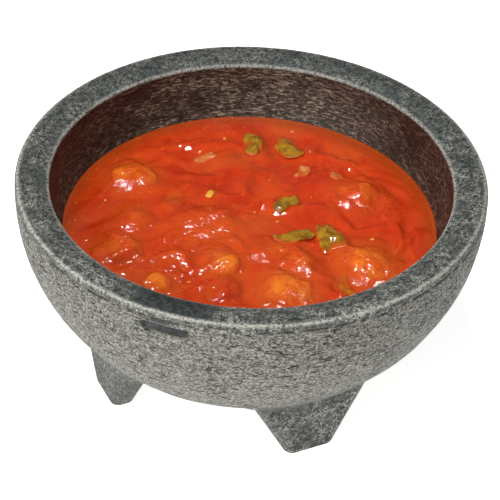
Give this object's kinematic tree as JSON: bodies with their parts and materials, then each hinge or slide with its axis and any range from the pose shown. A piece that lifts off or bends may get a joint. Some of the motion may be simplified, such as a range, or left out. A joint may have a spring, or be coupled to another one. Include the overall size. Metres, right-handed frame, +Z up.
{
  "type": "molcajete salsa bowl",
  "caption": "Round granite-look molcajete serving bowl on short flared legs, with a wide flat rim and a removable filling of chunky red salsa.",
  "frame": {"origin": "on the surface the legs stand on, on the bowl's axis", "axes": "+Z up along the bowl's axis, front leg along -Y, left leg along -X, right leg along +X, rear leg along +Y"},
  "size_m": [0.16, 0.16, 0.0795],
  "materials": {
    "bowl_moulding": "matte",
    "leg_moulding": "matte",
    "tomato_sauce": "gloss",
    "tomato": "gloss",
    "green_chile": "gloss",
    "onion": "gloss",
    "seed": "satin"
  },
  "bodies": {
    "molcajete": {"bowl": "bowl_moulding", "front_leg": "leg_moulding", "left_leg": "leg_moulding", "right_leg": "leg_moulding", "rear_leg": "leg_moulding"},
    "salsa": {"sauce": "tomato_sauce", "tomato_chunks": "tomato", "chile_pieces": "green_chile", "onion_pieces": "onion", "chile_seeds": "seed"}
  },
  "joints": [
    {"name": "salsa_lift", "type": "slide", "parent": "molcajete", "child": "salsa", "axis": [0, 0, 1], "range_m": [0, 0.09]}
  ]
}
